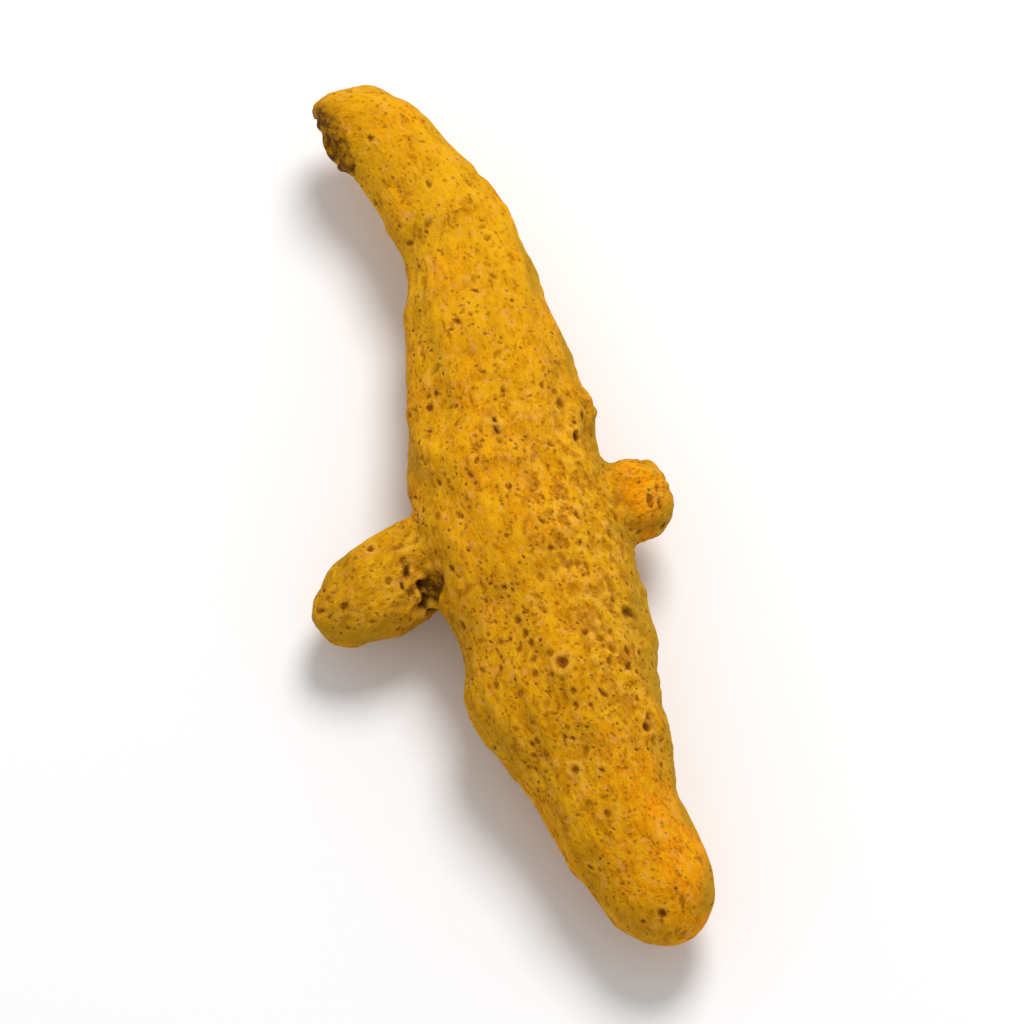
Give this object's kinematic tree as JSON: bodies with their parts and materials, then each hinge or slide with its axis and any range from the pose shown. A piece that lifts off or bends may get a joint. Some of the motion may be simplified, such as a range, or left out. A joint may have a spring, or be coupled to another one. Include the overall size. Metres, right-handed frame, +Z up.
{
  "type": "turmeric root",
  "caption": "Dried finger of turmeric root: a gently bent, tapering rhizome with a short side branch, a bud, leaf rings, root scars and a broken neck.",
  "frame": {"origin": "middle of the piece seen from above, on the surface that it rests on", "axes": "+X from the broken neck to the growing tip, +Y towards the bud's side and away from the side branch, +Z up"},
  "size_m": [0.0696, 0.0274, 0.0129],
  "materials": {
    "rhizome_skin": "dry, matte, powdery golden-ochre skin with brown pores, an orange tip and orange buds"
  },
  "bodies": {
    "root": {"rhizome": "rhizome_skin"}
  },
  "joints": []
}
